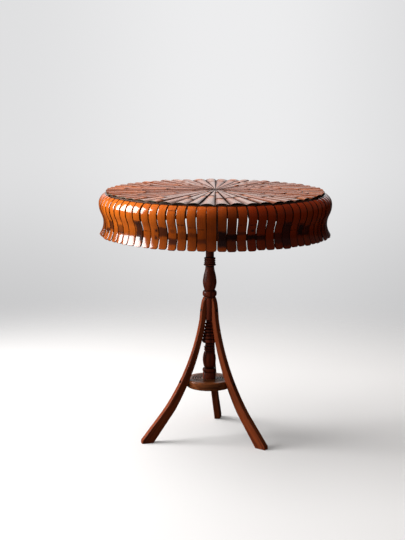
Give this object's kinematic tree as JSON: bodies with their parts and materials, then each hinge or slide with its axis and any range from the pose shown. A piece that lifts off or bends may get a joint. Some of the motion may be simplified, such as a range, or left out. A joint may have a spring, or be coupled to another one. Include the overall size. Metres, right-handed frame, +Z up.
{
  "type": "accent table",
  "caption": "Round accent table: radial split-bamboo top, waisted skirt of bent bamboo strips, turned post on sabre legs tied by a low disc.",
  "frame": {"origin": "on the floor, under the middle of the round top", "axes": "+Z up, +X to the right and +Y away as seen from the front of the table"},
  "size_m": [0.6564, 0.6564, 0.72],
  "materials": {
    "board_wood": "raw, sawn",
    "slat_bamboo": "split bamboo, satin varnish",
    "strip_bamboo": "bent bamboo, gloss varnish",
    "hoop_bamboo": "bamboo, plain",
    "cleat_wood": "plain",
    "block_wood": "satin varnish",
    "turned_wood": "turned, satin varnish",
    "disc_wood": "turned, satin varnish",
    "leg_wood": "satin varnish",
    "screw_metal": "plain"
  },
  "bodies": {
    "root": {"top_board": "board_wood", "top_slats": "slat_bamboo", "skirt_strips": "strip_bamboo", "waist_hoop": "hoop_bamboo", "top_cleat": "cleat_wood", "post_block": "block_wood", "centre_post": "turned_wood", "stretcher_disc": "disc_wood", "back_leg": "leg_wood", "left_leg": "leg_wood", "right_leg": "leg_wood", "leg_screws": "screw_metal"}
  },
  "joints": []
}
